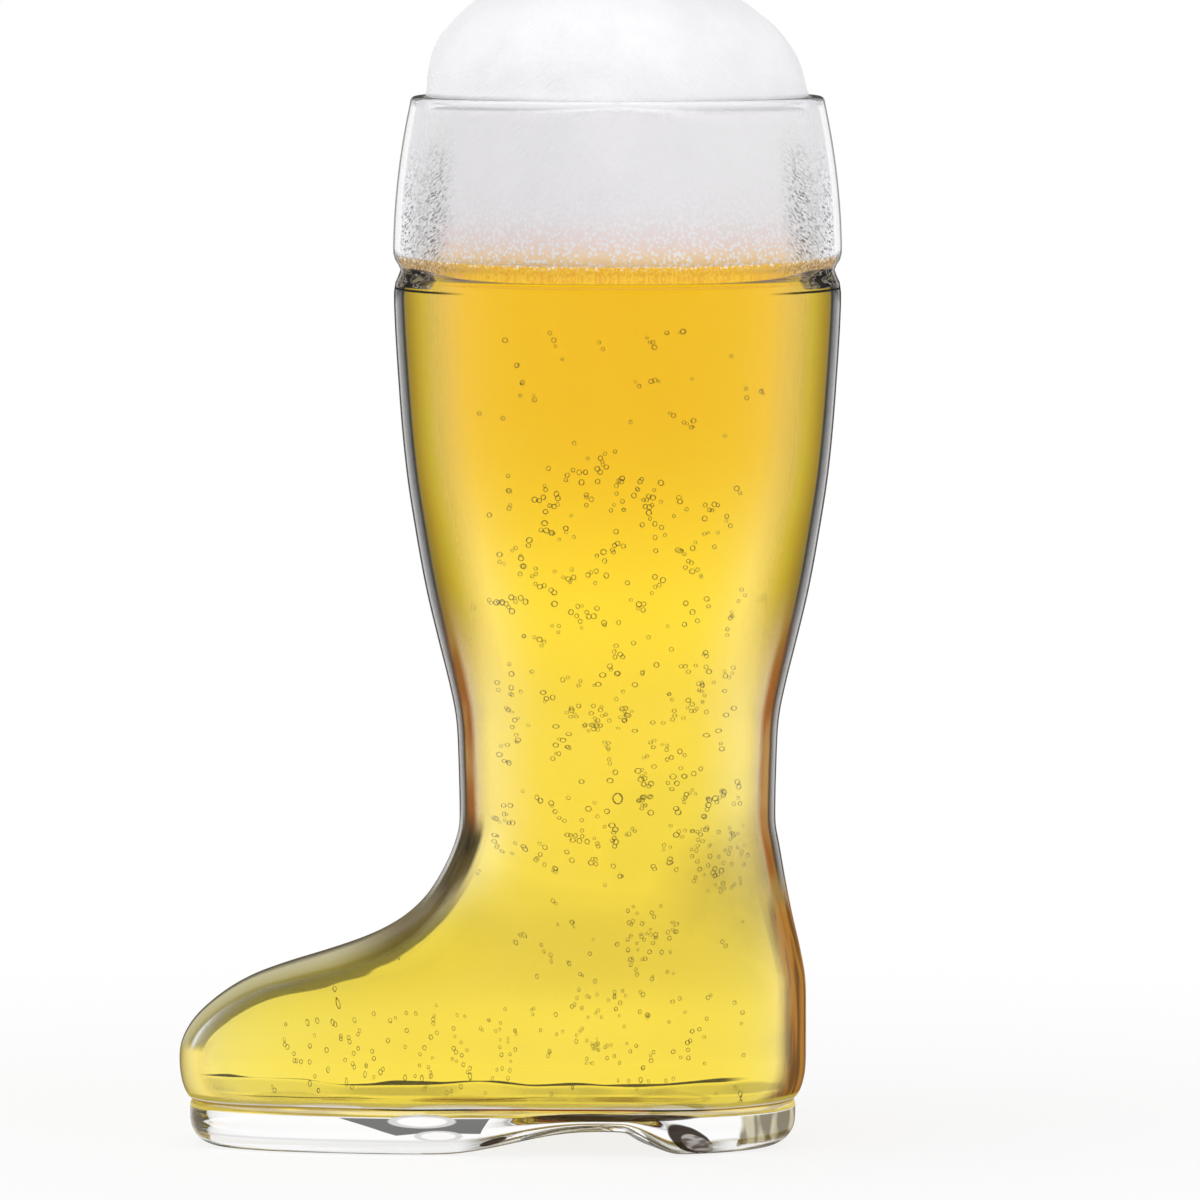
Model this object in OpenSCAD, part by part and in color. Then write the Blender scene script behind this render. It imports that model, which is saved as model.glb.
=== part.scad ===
// A boot-shaped beer glass of one litre, filled, with its head of foam.
//
// The boot is a single piece of blown glass: cuff, shaft, foot and thick sole.
// It stands on z = 0 with its toe towards -X, alike on both sides of y = 0.
// X is zero halfway between the tip of the toe and the back of the cuff, so
// the round shaft's axis stands a little behind the middle.

/* [Shaft and cuff] */
// Height of the ankle, where the round shaft turns into the foot
ankle_z = 73; // [68:0.5:80]
// Height of the shaft, from the ankle to the groove under the cuff
shaft_h = 124; // [105:1:150]
// Height of the cuff, from the groove to the rim
cuff_h = 39; // [30:1:50]
// Outer radius of the ankle
ankle_r = 35.6; // [33:0.2:38]
// Outer radius of the shaft just under the groove
shaft_r = 50.4; // [46:0.2:55]
// How much further the cuff stands out than the shaft
cuff_step = 0.1; // [0:0.1:1.5]
// How much narrower the rim is than the bottom of the cuff
rim_taper = 3.9; // [1:0.1:6]
// Thickness of the blown wall
wall = 2.7; // [2:0.1:3.4]
// Height of the groove under the cuff
groove_h = 4.6; // [3:0.2:7]
// Depth of the groove under the cuff
groove_depth = 2.4; // [1.2:0.1:3]

/* [Foot] */
// How far the toe stands out ahead of the ankle
toe_out = 63.3; // [54:0.1:74]
// How far the heel stands out behind the ankle
heel_out = 7; // [4:0.2:9]
// Width of the foot
foot_w = 69; // [62:0.5:76]
// Height over which the foot rounds in to the groove above the sole
foot_fold_h = 9; // [8:0.5:12]
// Thickness of the solid glass under the hollow
floor_h = 10.5; // [9:0.1:11.5]
// Radius where the hollow's wall turns into its floor
floor_round = 5.5; // [3:0.1:5.5]

/* [Sole] */
// Height of the groove above the sole
sole_h = 10.2; // [9:0.1:12]
// How far the groove above the sole lies inside the foot's outline
sole_groove_in = 3.4; // [2.8:0.1:4.2]
// How far the sole's edge lies inside the foot's outline
sole_in = 2.4; // [1.4:0.1:2.8]
// Height over which the sole's top edge is rounded
sole_lip_h = 1.6; // [0.8:0.1:2.4]
// Radius of the rounding under the sole
sole_round = 6; // [3:0.1:6.5]
// Height of the arch between forefoot and heel
arch_h = 5.2; // [2:0.1:6.5]
// Where the arch starts under the forefoot, ahead of the shaft's axis
arch_front = 40; // [36:0.5:50]
// Length over which the arch rises behind the forefoot
arch_rise = 34; // [20:0.5:38]
// Where the arch ends under the heel, behind the shaft's axis
arch_back = 14; // [10:0.5:20]
// Length over which the arch falls steeply to the heel
arch_fall = 14; // [8:0.5:20]
// Distance from the shaft's axis to the narrowest part of the sole's waist
waist_x = 14; // [5:0.5:25]
// Half of the length over which the waist is drawn in
waist_half_l = 36; // [25:0.5:45]

/* [Beer and foam] */
// Clearance all round between the liquid, the foam and the glass
film_gap = 0.05; // [0.03:0.01:0.1]
// How far the beer's surface lies below the groove under the cuff
beer_drop = 1; // [0:0.1:20]
// Height of the foam's crown over the straight inner edge of the rim
crown_h = 30.5; // [12:0.5:40]
// How far the crown draws in where it leaves the rim
crown_in = 1.7; // [0.5:0.1:5]
// How far the crown's top leans towards the toe
crown_lean = 3.2; // [0:0.1:8]

/* [Fineness] */
// Points round each outline of the foot and the foam
ring_points = 52; // [40:4:60]
// Outlines from the ankle down to the foot's fullest level
foot_steps = 26; // [20:1:30]

/* [Hidden] */

// The shaft's outline from the ankle up to the groove: [height, width] shares.
shaft_shares = [
    [0, 0], [0.11, 0.018], [0.19, 0.055], [0.26, 0.17], [0.34, 0.335],
    [0.43, 0.51], [0.53, 0.66], [0.65, 0.81], [0.8, 0.92], [1, 1]];

// The instep and toe from the ankle down: [height, reach] shares.
front_shares = [
    [1, 0], [0.89, 0.022], [0.78, 0.065], [0.68, 0.12], [0.6, 0.19], [0.54, 0.27],
    [0.49, 0.365], [0.44, 0.49], [0.39, 0.63], [0.335, 0.755], [0.26, 0.86],
    [0.17, 0.945], [0.08, 0.99], [0, 1]];

// The heel from the ankle down: [height, reach] shares.
heel_shares = [
    [1, 0], [0.9, 0.13], [0.75, 0.33], [0.6, 0.56], [0.46, 0.81], [0.33, 0.98],
    [0.18, 1], [0, 1]];

// How much fuller than an ellipse the low outlines are at the toe and the heel,
// how much the waist draws them in, and the power of the foam's round crown.
toe_fullness = 0.75;
heel_fullness = 0.3;
waist_share = 0.07;
crown_power = 2.2;
// Size of the crown's three soft lobes, and the turn at which they stand.
lobe_share = 0.018;
lobe_turn = 50;
// Degrees by which an outline's points crowd together along its straight sides.
crowding = 12;

// Steps along the shaft, the cuff, the grooves and the roundings.
shaft_steps = 36;
cuff_steps = 10;
round_steps = 5;
bulge_steps = 8;
heel_steps = 60;
crown_steps = 12;

// How deep the foot's top edge, and the crown's bottom edge, sit inside the
// turned part above or below them.
seam = 0.2;
seam_lap = 0.6;

groove_z = ankle_z + shaft_h;
groove_low_z = groove_z - groove_h / 2;
groove_high_z = groove_z + groove_h / 2;
rim_z = groove_z + cuff_h;
cuff_r = shaft_r + cuff_step;
rim_r = cuff_r - rim_taper;
rim_round = wall / 2;
toe_reach = ankle_r + toe_out;
heel_reach = ankle_r + heel_out;
belly_z = sole_h + foot_fold_h;
beer_z = groove_z - beer_drop;
shaft_x = (toe_reach - cuff_r) / 2;

// A smooth step from 0 to 1.
function smooth(t) = let (c = min(1, max(0, t))) c * c * (3 - 2 * c);

// A station of an outline. Past either end it is mirrored, which leaves the
// outline upright there.
function mirrored(end, next) = [2 * end[0] - next[0], next[1]];
function station(list, i) = let (last = len(list) - 1)
    i < 0 ? mirrored(list[0], list[1])
    : i > last ? mirrored(list[last], list[last - 1])
    : list[i];

// The point at share u along a smooth curve through the stations.
function curve(list, u) = let (
        spans = len(list) - 1,
        i = min(spans - 1, floor(u * spans)),
        t = u * spans - i,
        a = station(list, i - 1),
        b = station(list, i),
        c = station(list, i + 1),
        d = station(list, i + 2))
    b + (c - a) * t / 2
        + (2 * a - 5 * b + 4 * c - d) * t * t / 2
        + (3 * b - a - 3 * c + d) * t * t * t / 2;

// The shaft's outside, as [radius, height] points from the ankle upwards.
shaft_line = [for (i = [0 : shaft_steps]) let (s = curve(shaft_shares, i / shaft_steps))
    [ankle_r + (shaft_r - ankle_r) * s[1], ankle_z + (groove_low_z - ankle_z) * s[0]]];

// The cuff's outside, from the groove up to where the rim starts to round.
cuff_line = [for (i = [0 : cuff_steps]) let (
        t = i / cuff_steps,
        z = groove_high_z + (rim_z - rim_round - groove_high_z) * t)
    [cuff_r - rim_taper * t * t, z]];

// The hollow's side follows the outside at the wall's thickness, and the groove
// shows in it as a soft bulge.
bulge_line = [for (i = [1 : bulge_steps - 1]) let (t = i / bulge_steps)
    [shaft_r + cuff_step * t - wall - groove_depth * pow(sin(180 * t), 2),
        groove_low_z + groove_h * t]];
bore_line = concat(
    [for (p = shaft_line) [p[0] - wall, p[1]]],
    bulge_line,
    [for (p = cuff_line) [p[0] - wall, p[1]]]);
bore_table = [for (p = bore_line) [p[1], p[0]]];
function bore_r(z) = lookup(z, bore_table);

// The round lip over the cuff, from its outside to its inside.
rim_line = [for (i = [1 : 2 * round_steps - 1]) let (a = 90 * i / round_steps)
    [rim_r - rim_round + rim_round * cos(a), rim_z - rim_round + rim_round * sin(a)]];

// The instep and toe in the middle plane, as [reach ahead of the axis, height].
function front_point(u) = let (s = curve(front_shares, u))
    [ankle_r + toe_out * s[1], belly_z + (ankle_z - belly_z) * s[0]];
function front_inside(u, depth) = let (
        step = 1 / foot_steps / 2,
        along = front_point(min(1, u + step)) - front_point(max(0, u - step)),
        out = [-along[1], along[0]] / norm(along))
    front_point(u) - out * depth;

// The heel's reach behind the axis at a height.
heel_table = [for (i = [heel_steps : -1 : 0]) let (s = curve(heel_shares, i / heel_steps))
    [belly_z + (ankle_z - belly_z) * s[0], ankle_r + heel_out * s[1]]];
function heel_at(z) = lookup(z, heel_table);

// How far an outline has turned from the ankle's circle to the foot's shape.
function lowness(z) = smooth((ankle_z - z) / (ankle_z - belly_z));

// The lift that the arch gives to the underside of the sole.
function arch(x) = arch_h * smooth((arch_front + x) / arch_rise) * smooth((arch_back - x) / arch_fall);

// The level outline of the foot at a height: a long full nose ahead of the
// shaft's axis, a round heel behind it, and a waist between them.
function outline(reach, back, half_w, z) = [for (k = [0 : ring_points - 1]) let (
        even = 360 * k / ring_points,
        turn = even + crowding * sin(2 * even),
        low = lowness(z),
        power = 2 / (2 + low * (cos(turn) < 0 ? toe_fullness : heel_fullness)),
        x = (cos(turn) < 0 ? -reach : back) * pow(abs(cos(turn)), power),
        waist = waist_share * low * smooth(1 - abs(x + waist_x) / waist_half_l),
        y = half_w * sign(sin(turn)) * pow(abs(sin(turn)), power) * (1 - waist),
        lift = z < sole_h ? arch(x) * (1 - z / sole_h) : 0)
    [shaft_x + x, y, z + lift]];

// An outline drawn in by a depth, from the reach at the toe.
function drawn_in(reach, z, depth) = let (
        low = lowness(z),
        half_w = ankle_r + (foot_w / 2 - ankle_r) * low)
    outline(reach, heel_at(z) - depth, half_w - depth, z);
function below_belly(z, depth) = drawn_in(toe_reach - depth, z, depth);

// The outside of the foot, from the ankle down to the groove over the sole.
foot_outside = concat(
    [drawn_in(ankle_r - seam, ankle_z + seam_lap, seam)],
    [drawn_in(ankle_r - seam, ankle_z, seam)],
    [for (i = [1 : foot_steps]) let (p = front_point(i / foot_steps))
        drawn_in(p[0], p[1], 0)],
    [for (i = [1 : round_steps]) let (a = 90 * i / round_steps)
        below_belly(belly_z - foot_fold_h * sin(a), sole_groove_in * (1 - cos(a)))]);

// The sole's rounded top edge, and then its rounded bottom edge.
sole_outside = concat(
    [for (i = [1 : round_steps]) let (a = 90 * i / round_steps)
        below_belly(sole_h - sole_lip_h * (1 - cos(a)),
            sole_groove_in - (sole_groove_in - sole_in) * sin(a))],
    [for (i = [0 : round_steps]) let (a = 90 * i / round_steps)
        below_belly(sole_round * (1 - sin(a)), sole_in + sole_round * (1 - cos(a)))]);

// The side of the foot's hollow from the ankle down to its floor, drawn in by a
// gap where it is the liquid's side.
function hollow_rings(gap) = let (depth = wall + gap, floor_z = floor_h + gap) concat(
    [for (i = [1 : foot_steps]) let (p = front_inside(i / foot_steps, depth))
        drawn_in(p[0], p[1], depth)],
    [for (i = [0 : round_steps]) let (a = 90 * i / round_steps)
        below_belly(floor_z + floor_round * (1 - sin(a)), depth + floor_round * (1 - cos(a)))]);

function reversed(list) = [for (i = [len(list) - 1 : -1 : 0]) list[i]];

// A closed skin over a pile of outlines. Its first cap is laid in strips across
// the foot, so that it follows the arch, and its last cap is flat.
module skin(rings) {
    count = ring_points;
    half = count / 2;
    top = (len(rings) - 1) * count;
    sides = [for (i = [0 : len(rings) - 2], k = [0 : count - 1]) let (
            a = i * count + k,
            b = i * count + (k + 1) % count)
        each [[a, a + count, b + count], [a, b + count, b]]];
    strips = [for (k = [1 : half - 2]) [k, k + 1, count - k - 1, count - k]];
    ends = [[0, 1, count - 1], [half - 1, half, half + 1]];
    lid = [for (k = [count - 1 : -1 : 0]) top + k];
    polyhedron([for (ring = rings) each ring], concat(ends, strips, sides, [lid]));
}

// The turned part of the boot: shaft, groove, cuff and round rim.
module turned_wall() {
    translate([shaft_x, 0, 0])
        rotate_extrude()
            polygon(concat(
                shaft_line,
                [[shaft_r - groove_depth, groove_z]],
                cuff_line,
                rim_line,
                reversed(bore_line)));
}

// The whole boot in one piece of glass. Foot and sole are one blown skin whose
// top edge lies inside the shaft's wall.
module glass_boot() {
    ankle_ring = drawn_in(ankle_r - wall + seam, ankle_z, wall - seam);
    ankle_top_ring = drawn_in(ankle_r - wall + seam, ankle_z + seam_lap, wall - seam);
    color([0.84, 0.9, 0.9, 0.35])
        union() {
            turned_wall();
            skin(concat(
                reversed(sole_outside),
                reversed(foot_outside),
                [ankle_top_ring, ankle_ring],
                hollow_rings(0)));
        }
}

// The beer fills the hollow up to its level under the foam.
module beer() {
    side = [for (p = bore_line) if (p[1] < beer_z) [p[0] - film_gap, p[1]]];
    neck = wall + film_gap + seam;
    color([0.95, 0.72, 0.12])
        union() {
            translate([shaft_x, 0, 0])
                rotate_extrude()
                    polygon(concat(
                        [[0, ankle_z]],
                        side,
                        [[bore_r(beer_z) - film_gap, beer_z], [0, beer_z]]));
            skin(concat(
                reversed(hollow_rings(film_gap)),
                [drawn_in(ankle_r - neck, ankle_z, neck)],
                [drawn_in(ankle_r - neck, ankle_z + seam_lap, neck)]));
        }
}

// One level outline of the foam's crown, at a turn from 0 at the rim to 90 at
// its top.
function crown_ring(a) = let (
        low_z = rim_z - rim_round,
        h = pow(sin(a), 2 / crown_power),
        r = (bore_r(low_z) - film_gap - crown_in) * pow(cos(a), 2 / crown_power))
    [for (k = [0 : ring_points - 1]) let (
            turn = 360 * k / ring_points,
            lobe = 1 + lobe_share * sin(2 * a) * cos(3 * turn + lobe_turn))
        [shaft_x - crown_lean * h + r * lobe * cos(turn), r * lobe * sin(turn), low_z + crown_h * h]];

// The head of foam fills the cuff and piles up over the rim.
module foam_head() {
    low_z = beer_z + film_gap;
    top_z = rim_z - rim_round;
    side = [for (p = bore_line) if (p[1] > low_z) [p[0] - film_gap, p[1]]];
    base = crown_ring(0);
    color([0.97, 0.96, 0.94])
        union() {
            translate([shaft_x, 0, 0])
                rotate_extrude()
                    polygon(concat(
                        [[0, low_z], [bore_r(low_z) - film_gap, low_z]],
                        side,
                        [[0, top_z]]));
            skin(concat(
                [[for (p = base) [p[0], p[1], top_z - seam_lap]]],
                [for (i = [1 : crown_steps - 1]) crown_ring(90 * i / crown_steps)],
                [crown_ring(90 - 45 / crown_steps)]));
        }
}

glass_boot();
beer();
foam_head();
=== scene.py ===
import math
import random

import bmesh
import bpy
from mathutils import Matrix, Vector, noise


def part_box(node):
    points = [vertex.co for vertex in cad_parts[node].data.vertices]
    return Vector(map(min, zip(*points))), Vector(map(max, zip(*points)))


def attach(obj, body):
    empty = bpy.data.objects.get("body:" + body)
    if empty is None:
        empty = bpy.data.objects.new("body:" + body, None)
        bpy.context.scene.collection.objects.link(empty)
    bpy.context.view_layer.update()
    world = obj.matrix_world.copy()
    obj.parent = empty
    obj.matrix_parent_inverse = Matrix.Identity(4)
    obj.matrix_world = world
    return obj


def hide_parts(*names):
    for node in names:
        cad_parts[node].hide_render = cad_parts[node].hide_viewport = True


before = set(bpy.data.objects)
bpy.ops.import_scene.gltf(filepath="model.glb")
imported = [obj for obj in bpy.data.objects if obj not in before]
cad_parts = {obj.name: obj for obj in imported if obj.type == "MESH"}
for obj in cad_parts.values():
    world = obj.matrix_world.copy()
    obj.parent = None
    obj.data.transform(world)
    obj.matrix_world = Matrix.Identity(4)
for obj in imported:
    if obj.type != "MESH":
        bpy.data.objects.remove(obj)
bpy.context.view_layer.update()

MM = 0.001
MM_PER_M = 1000
CM_PER_M = 100

# The boot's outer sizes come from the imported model. The toe points along -X.
glass_low, glass_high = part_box("glass_boot")
foam_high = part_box("foam_head")[1]
cuff_r = glass_high.y
shaft_x = glass_high.x - cuff_r
toe_reach = shaft_x - glass_low.x
rim_z = glass_high.z

# The sizes inside that box are those of the construction.
ankle_z = 73 * MM
ankle_r = 35.6 * MM
shaft_r = 50.4 * MM
rim_taper = 3.9 * MM
wall = 2.7 * MM
groove_z = 197 * MM
groove_h = 4.6 * MM
groove_depth = 2.4 * MM
heel_out = 7 * MM
foot_w = 69 * MM
foot_fold_h = 9 * MM
floor_z = 10.5 * MM
floor_round = 5.5 * MM
sole_h = 10.2 * MM
sole_groove_in = 3.4 * MM
sole_in = 2.4 * MM
sole_lip_h = 1.6 * MM
sole_round = 6 * MM
arch_h = 5.2 * MM
arch_front = 40 * MM
arch_rise = 34 * MM
arch_back = 14 * MM
arch_fall = 14 * MM
waist_x = 14 * MM
waist_half_l = 36 * MM
beer_z = 196 * MM
film_gap = 0.05 * MM
floor_wave_h = 0.9 * MM
floor_wave_x = 17 * MM
floor_wave_y = 24 * MM
floor_wave_from = 3.7
crown_in = 0.4 * MM
crown_lean = 3.8 * MM
broad_lump = 1.1 * MM
fine_lump = 0.4 * MM

groove_low_z = groove_z - groove_h / 2
groove_high_z = groove_z + groove_h / 2
rim_round = wall / 2
rim_r = cuff_r - rim_taper
belly_z = sole_h + foot_fold_h
crown_low_z = rim_z - rim_round

# Outlines as shares of the sizes above, from one end of each line to the other.
SHAFT_SHARES = [
    (0, 0), (0.11, 0.018), (0.19, 0.055), (0.26, 0.17), (0.34, 0.335),
    (0.43, 0.51), (0.53, 0.66), (0.65, 0.81), (0.8, 0.92), (1, 1)]
FRONT_SHARES = [
    (1, 0), (0.89, 0.022), (0.78, 0.065), (0.68, 0.12), (0.6, 0.19), (0.54, 0.27),
    (0.49, 0.365), (0.44, 0.49), (0.39, 0.63), (0.335, 0.755), (0.26, 0.86),
    (0.17, 0.945), (0.08, 0.99), (0, 1)]
HEEL_SHARES = [
    (1, 0), (0.9, 0.13), (0.75, 0.33), (0.6, 0.56), (0.46, 0.81), (0.33, 0.98),
    (0.18, 1), (0, 1)]
TOE_FULLNESS = 0.75
HEEL_FULLNESS = 0.3
WAIST_SHARE = 0.07
CROWDING = math.radians(12)

# Bubbles in the shaft and the foot: how many bunches, from which height to which, how far
# from the shaft's axis, and the least and greatest radius.
BUBBLE_ZONES = [
    (300, 62 * MM, 155 * MM, 22 * MM, 0.3 * MM, 0.56 * MM),
    (60, 120 * MM, 184 * MM, 26 * MM, 0.26 * MM, 0.5 * MM),
    (60, 14 * MM, 62 * MM, 25 * MM, 0.26 * MM, 0.48 * MM),
]
BUBBLE_SEED = 11
BUNCH_SIZES = (1, 1, 1, 2, 2, 3)
BUNCH_SPREAD = 2.2
BUBBLE_TALL = 1.25

# Single bubbles in boxes, in mm: over the toe, behind the ankle, under the shaft and in the heel.
BUBBLE_BOXES = [
    (120, (-52, -22, 14), (2, 22, 30)),
    (45, (35, -20, 57), (50, 4, 73)),
    (35, (26, -22, 40), (36, 4, 57)),
    (60, (14, -22, 16), (48, 10, 36)),
]
BOX_BUBBLE_R = (0.28 * MM, 0.46 * MM)
BIG_BUBBLE_AT = Vector((shaft_x, -20 * MM, 80 * MM))
BIG_BUBBLE_R = 1.1 * MM

# The froth's crown: how square its side is, where its lumps set in, and how many there are
# to a metre.
CROWN_SQUARENESS = 2.2
CROWN_TILT = 0.6
LUMP_ONSET = 8
BROAD_LUMPS = 55
FINE_LUMPS = 190
FINE_LUMPS_FROM = Vector((5, 1, 2))

RING_POINTS = 96
SHAFT_STEPS = 40
CUFF_STEPS = 12
BULGE_STEPS = 8
RIM_STEPS = 10
HEEL_STEPS = 60
FOOT_STEPS = 39
ROUND_STEPS = 6
CROWN_STEPS = 40
BUBBLE_SEGMENTS = 8
BUBBLE_BANDS = 6

# The rows that close a piece, from its middle outwards, as shares of its outline.
FACE_ROWS = (0.25, 0.5, 0.75)
FACE_SHRINK = 0.2
SURFACE_ROWS = (0.1, 0.4, 0.7, 0.99, 1)

# The studio, in metres, and the camera, with the photo's measures in pixels.
FLOOR_R = 4
FLOOR_SEGMENTS = 64
LAMP_AIM = Vector((0, 0, 0.12))
CAMERA_AWAY = 2.65
CAMERA_HEIGHT = 0.31
SENSOR_MM = 36
PIXEL = 0.225 * MM
FRAME_PIXELS = 1200
SHAFT_PIXEL = 617.5
GROUND_PIXEL = 1145


def smooth(t):
    t = min(1, max(0, t))
    return t * t * (3 - 2 * t)


def curve(stations, u):
    """The point at share u along a smooth curve that stands upright at both ends."""
    before = (2 * stations[0][0] - stations[1][0], stations[1][1])
    after = (2 * stations[-1][0] - stations[-2][0], stations[-2][1])
    spans = len(stations) - 1
    i = min(spans - 1, int(u * spans))
    t = u * spans - i
    a, b, c, d = [Vector(p) for p in [before, *stations, after][i:i + 4]]
    turn = (2 * a - 5 * b + 4 * c - d) * t * t + (3 * b - a - 3 * c + d) * t ** 3
    return b + ((c - a) * t + turn) / 2


def looked_up(table, z):
    """The value beside z in a table of rising (z, value) rows."""
    z = min(table[-1][0], max(table[0][0], z))
    for (z0, v0), (z1, v1) in zip(table, table[1:]):
        if z <= z1:
            return v0 + (v1 - v0) * (z - z0) / (z1 - z0)
    return table[-1][1]


def shaft_point(u):
    share = curve(SHAFT_SHARES, u)
    return (ankle_r + (shaft_r - ankle_r) * share.y, ankle_z + (groove_low_z - ankle_z) * share.x)


def cuff_point(t):
    return (cuff_r - rim_taper * t * t, groove_high_z + (crown_low_z - groove_high_z) * t)


def bulge_point(t):
    bulge = groove_depth * math.sin(math.pi * t) ** 2
    return (shaft_r + (cuff_r - shaft_r) * t - wall - bulge, groove_low_z + groove_h * t)


SHAFT_LINE = [shaft_point(i / SHAFT_STEPS) for i in range(SHAFT_STEPS + 1)]
CUFF_LINE = [cuff_point(i / CUFF_STEPS) for i in range(CUFF_STEPS + 1)]
BULGE_LINE = [bulge_point(i / BULGE_STEPS) for i in range(1, BULGE_STEPS)]
BORE_LINE = [
    *((r - wall, z) for r, z in SHAFT_LINE),
    *BULGE_LINE,
    *((r - wall, z) for r, z in CUFF_LINE)]
BORE_TABLE = [(z, r) for r, z in BORE_LINE]
HEEL_TABLE = [
    (belly_z + (ankle_z - belly_z) * s.x, ankle_r + heel_out * s.y)
    for s in (curve(HEEL_SHARES, 1 - i / HEEL_STEPS) for i in range(HEEL_STEPS + 1))]


def turns():
    """The angles of an outline's points, crowded together along its straight sides."""
    for k in range(RING_POINTS):
        even = 2 * math.pi * k / RING_POINTS
        yield even + CROWDING * math.sin(2 * even)


def circle(r, z):
    return [Vector((shaft_x + r * math.cos(a), r * math.sin(a), z)) for a in turns()]


def arch(x):
    rise = smooth((arch_front + x) / arch_rise)
    return arch_h * rise * smooth((arch_back - x) / arch_fall)


def outline(reach, back, half_w, z):
    """The foot's level outline: a long full nose, a waist and a round heel."""
    low = smooth((ankle_z - z) / (ankle_z - belly_z))
    ring = []
    for a in turns():
        nose = math.cos(a) < 0
        power = 2 / (2 + low * (TOE_FULLNESS if nose else HEEL_FULLNESS))
        x = (-reach if nose else back) * abs(math.cos(a)) ** power
        waist = WAIST_SHARE * low * smooth(1 - abs(x + waist_x) / waist_half_l)
        y = math.copysign(half_w * abs(math.sin(a)) ** power * (1 - waist), math.sin(a))
        lift = arch(x) * (1 - z / sole_h) if z < sole_h else 0
        ring.append(Vector((shaft_x + x, y, z + lift)))
    return ring


def drawn_in(reach, z, depth):
    low = smooth((ankle_z - z) / (ankle_z - belly_z))
    half_w = ankle_r + (foot_w / 2 - ankle_r) * low
    return outline(reach, looked_up(HEEL_TABLE, z) - depth, half_w - depth, z)


def below_belly(z, depth):
    return drawn_in(toe_reach - depth, z, depth)


def front_point(u):
    share = curve(FRONT_SHARES, u)
    return Vector((
        ankle_r + (toe_reach - ankle_r) * share.y,
        belly_z + (ankle_z - belly_z) * share.x))


def front_inside(u, depth):
    step = 0.5 / FOOT_STEPS
    along = front_point(min(1, u + step)) - front_point(max(0, u - step))
    out = Vector((-along.y, along.x)).normalized()
    return front_point(u) - out * depth


def quarter(steps=ROUND_STEPS, first=1):
    """The sines and cosines of the steps round a quarter turn."""
    for i in range(first, steps + 1):
        a = math.pi / 2 * i / steps
        yield math.sin(a), math.cos(a)


def foot_outside():
    """The foot's outlines from the ankle down to the groove above the sole."""
    for i in range(1, FOOT_STEPS + 1):
        reach, z = front_point(i / FOOT_STEPS)
        yield drawn_in(reach, z, 0)
    for s, c in quarter():
        yield below_belly(belly_z - foot_fold_h * s, sole_groove_in * (1 - c))


def sole_outside():
    """The sole's outlines from the groove down to the flat underside."""
    for s, c in quarter():
        z = sole_h - sole_lip_h * (1 - c)
        yield below_belly(z, sole_groove_in - (sole_groove_in - sole_in) * s)
    for s, c in quarter(first=0):
        yield below_belly(sole_round * (1 - s), sole_in + sole_round * (1 - c))


def ripple(ring, share):
    """Lets an outline follow the uneven floor that a blown hollow has."""
    for p in ring:
        wave = noise.noise(Vector((p.x / floor_wave_x, p.y / floor_wave_y, floor_wave_from)))
        p.z += floor_wave_h * wave * share
    return ring


def hollow_rings(gap):
    """The hollow's outlines from the ankle down to its floor, drawn in by a gap."""
    depth = wall + gap
    for i in range(1, FOOT_STEPS + 1):
        reach, z = front_inside(i / FOOT_STEPS, depth)
        yield drawn_in(reach, z, depth)
    for s, c in quarter(first=0):
        z = floor_z + gap + floor_round * (1 - s)
        yield ripple(below_belly(z, depth + floor_round * (1 - c)), s * s)


def squeezed(ring, share):
    """An outline narrowed towards the middle plane, for a flat face's inner rows."""
    middle = (ring[0] + ring[RING_POINTS // 2]) / 2
    return [Vector((
        middle.x + (p.x - middle.x) * (1 - (1 - share) * FACE_SHRINK),
        p.y * share,
        p.z)) for p in ring]


def lofted(name, rings, levels=1, finishes=()):
    """A closed smooth piece through a pile of outlines with equal numbers of points.

    finishes names the rings from which the next material is used.
    """
    bm = bmesh.new()
    count = len(rings[0])
    loops = []
    for ring in rings:
        made = bmesh.ops.create_circle(bm, segments=count, radius=1)["verts"]
        for vert, place in zip(made, ring):
            vert.co = place
        loops.append(made)
    bm.edges.ensure_lookup_table()
    edges = [bm.edges[n * count:(n + 1) * count] for n in range(len(rings))]
    for n, (low, high) in enumerate(zip(edges, edges[1:])):
        for face in bmesh.ops.bridge_loops(bm, edges=[*low, *high])["faces"]:
            face.material_index = sum(n >= first for first in finishes)
    close(bm, loops[0], 0)
    close(bm, loops[-1], len(finishes))
    bmesh.ops.recalc_face_normals(bm, faces=bm.faces)
    return piece(name, bm, levels)


def close(bm, loop, finish):
    """Closes an outline with strips across the boot from one side to the other."""
    half = len(loop) // 2
    sides = [loop[1:half], loop[half + 1:]]
    spans = [
        bm.edges.get((a, b))
        for side in sides for a, b in zip(side, side[1:])]
    faces = bmesh.ops.bridge_loops(bm, edges=spans)["faces"]
    faces += bmesh.ops.holes_fill(bm, edges=bm.edges, sides=3)["faces"]
    for face in faces:
        face.material_index = finish


def piece(name, bm, levels=0):
    """A smooth-shaded object of the finished mesh, with its place in its mesh."""
    for face in bm.faces:
        face.smooth = True
    mesh = bpy.data.meshes.new(name)
    bm.to_mesh(mesh)
    bm.free()
    made = bpy.data.objects.new(name, mesh)
    bpy.context.collection.objects.link(made)
    if levels:
        finer = made.modifiers.new("finer", "SUBSURF")
        finer.levels = finer.render_levels = levels
    return made


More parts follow.
